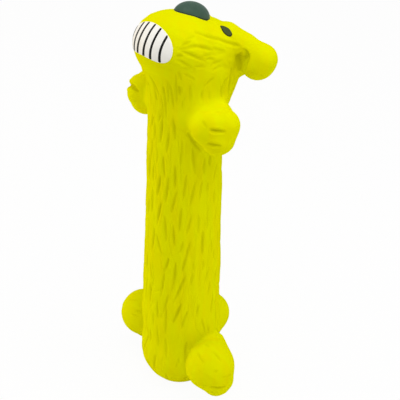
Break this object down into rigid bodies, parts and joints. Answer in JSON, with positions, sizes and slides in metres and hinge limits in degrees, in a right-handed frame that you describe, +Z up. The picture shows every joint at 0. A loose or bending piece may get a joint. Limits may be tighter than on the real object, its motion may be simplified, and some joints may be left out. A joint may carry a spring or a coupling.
{
  "type": "squeaky dog toy",
  "caption": "Long-bodied moulded latex dog, stuffed with fibre, that squeaks through a reed whistle in its base when its belly is pressed; head nods and ears flip.",
  "frame": {"origin": "middle of the flat base that the toy stands on, in the face of the whistle's grille", "axes": "+Z up along the body to the head, -Y the way the face looks, +X the toy's own left side"},
  "size_m": [0.118, 0.0805, 0.2994],
  "materials": {
    "latex": "satin",
    "nose_paint": "satin",
    "teeth_paint": "satin",
    "eye_paint": "satin",
    "whistle_plastic": "satin",
    "reed_plastic": "satin",
    "fibre": "matte"
  },
  "bodies": {
    "body": {"body_shell": "latex", "paw_left": "latex", "paw_right": "latex", "foot_left": "latex", "foot_right": "latex", "tail": "latex", "squeaker_barrel": "whistle_plastic", "squeaker_grille": "whistle_plastic", "squeaker_reed_seat": "whistle_plastic", "body_filling": "fibre"},
    "belly": {"belly_wall": "latex"},
    "head": {"head_shell": "latex", "nose": "nose_paint", "teeth": "teeth_paint", "eye_left": "eye_paint", "eye_right": "eye_paint", "head_filling": "fibre"},
    "left_ear": {"ear_left": "latex"},
    "right_ear": {"ear_right": "latex"},
    "reed": {"squeaker_reed": "reed_plastic"}
  },
  "joints": [
    {"name": "squeeze", "type": "slide", "parent": "body", "child": "belly", "axis": [0, 1, 0], "range_m": [0, 0.01], "stiffness_N_per_m": 250, "deforming": ["body_filling"]},
    {"name": "neck_nod", "type": "hinge", "parent": "body", "child": "head", "pos_m": [0, 0, 0.225], "axis": [1, 0, 0], "range_deg": [-12, 12], "stiffness_Nm_per_rad": 1.2},
    {"name": "ear_left_flip", "type": "hinge", "parent": "head", "child": "left_ear", "pos_m": [0.027, 0.0244, 0.2727], "axis": [0, -1, 0], "range_deg": [-6, 18], "stiffness_Nm_per_rad": 0.02},
    {"name": "ear_right_flip", "type": "hinge", "parent": "head", "child": "right_ear", "pos_m": [-0.027, 0.0244, 0.2727], "axis": [0, 1, 0], "range_deg": [-6, 18], "stiffness_Nm_per_rad": 0.02},
    {"name": "reed_buzz", "type": "hinge", "parent": "body", "child": "reed", "pos_m": [0, -0.0005, 0.013], "axis": [1, 0, 0], "range_deg": [0, 5]}
  ],
  "couplings": [
    {"joint": "reed_buzz", "follows": "squeeze", "rad_per_m": 8.7}
  ]
}
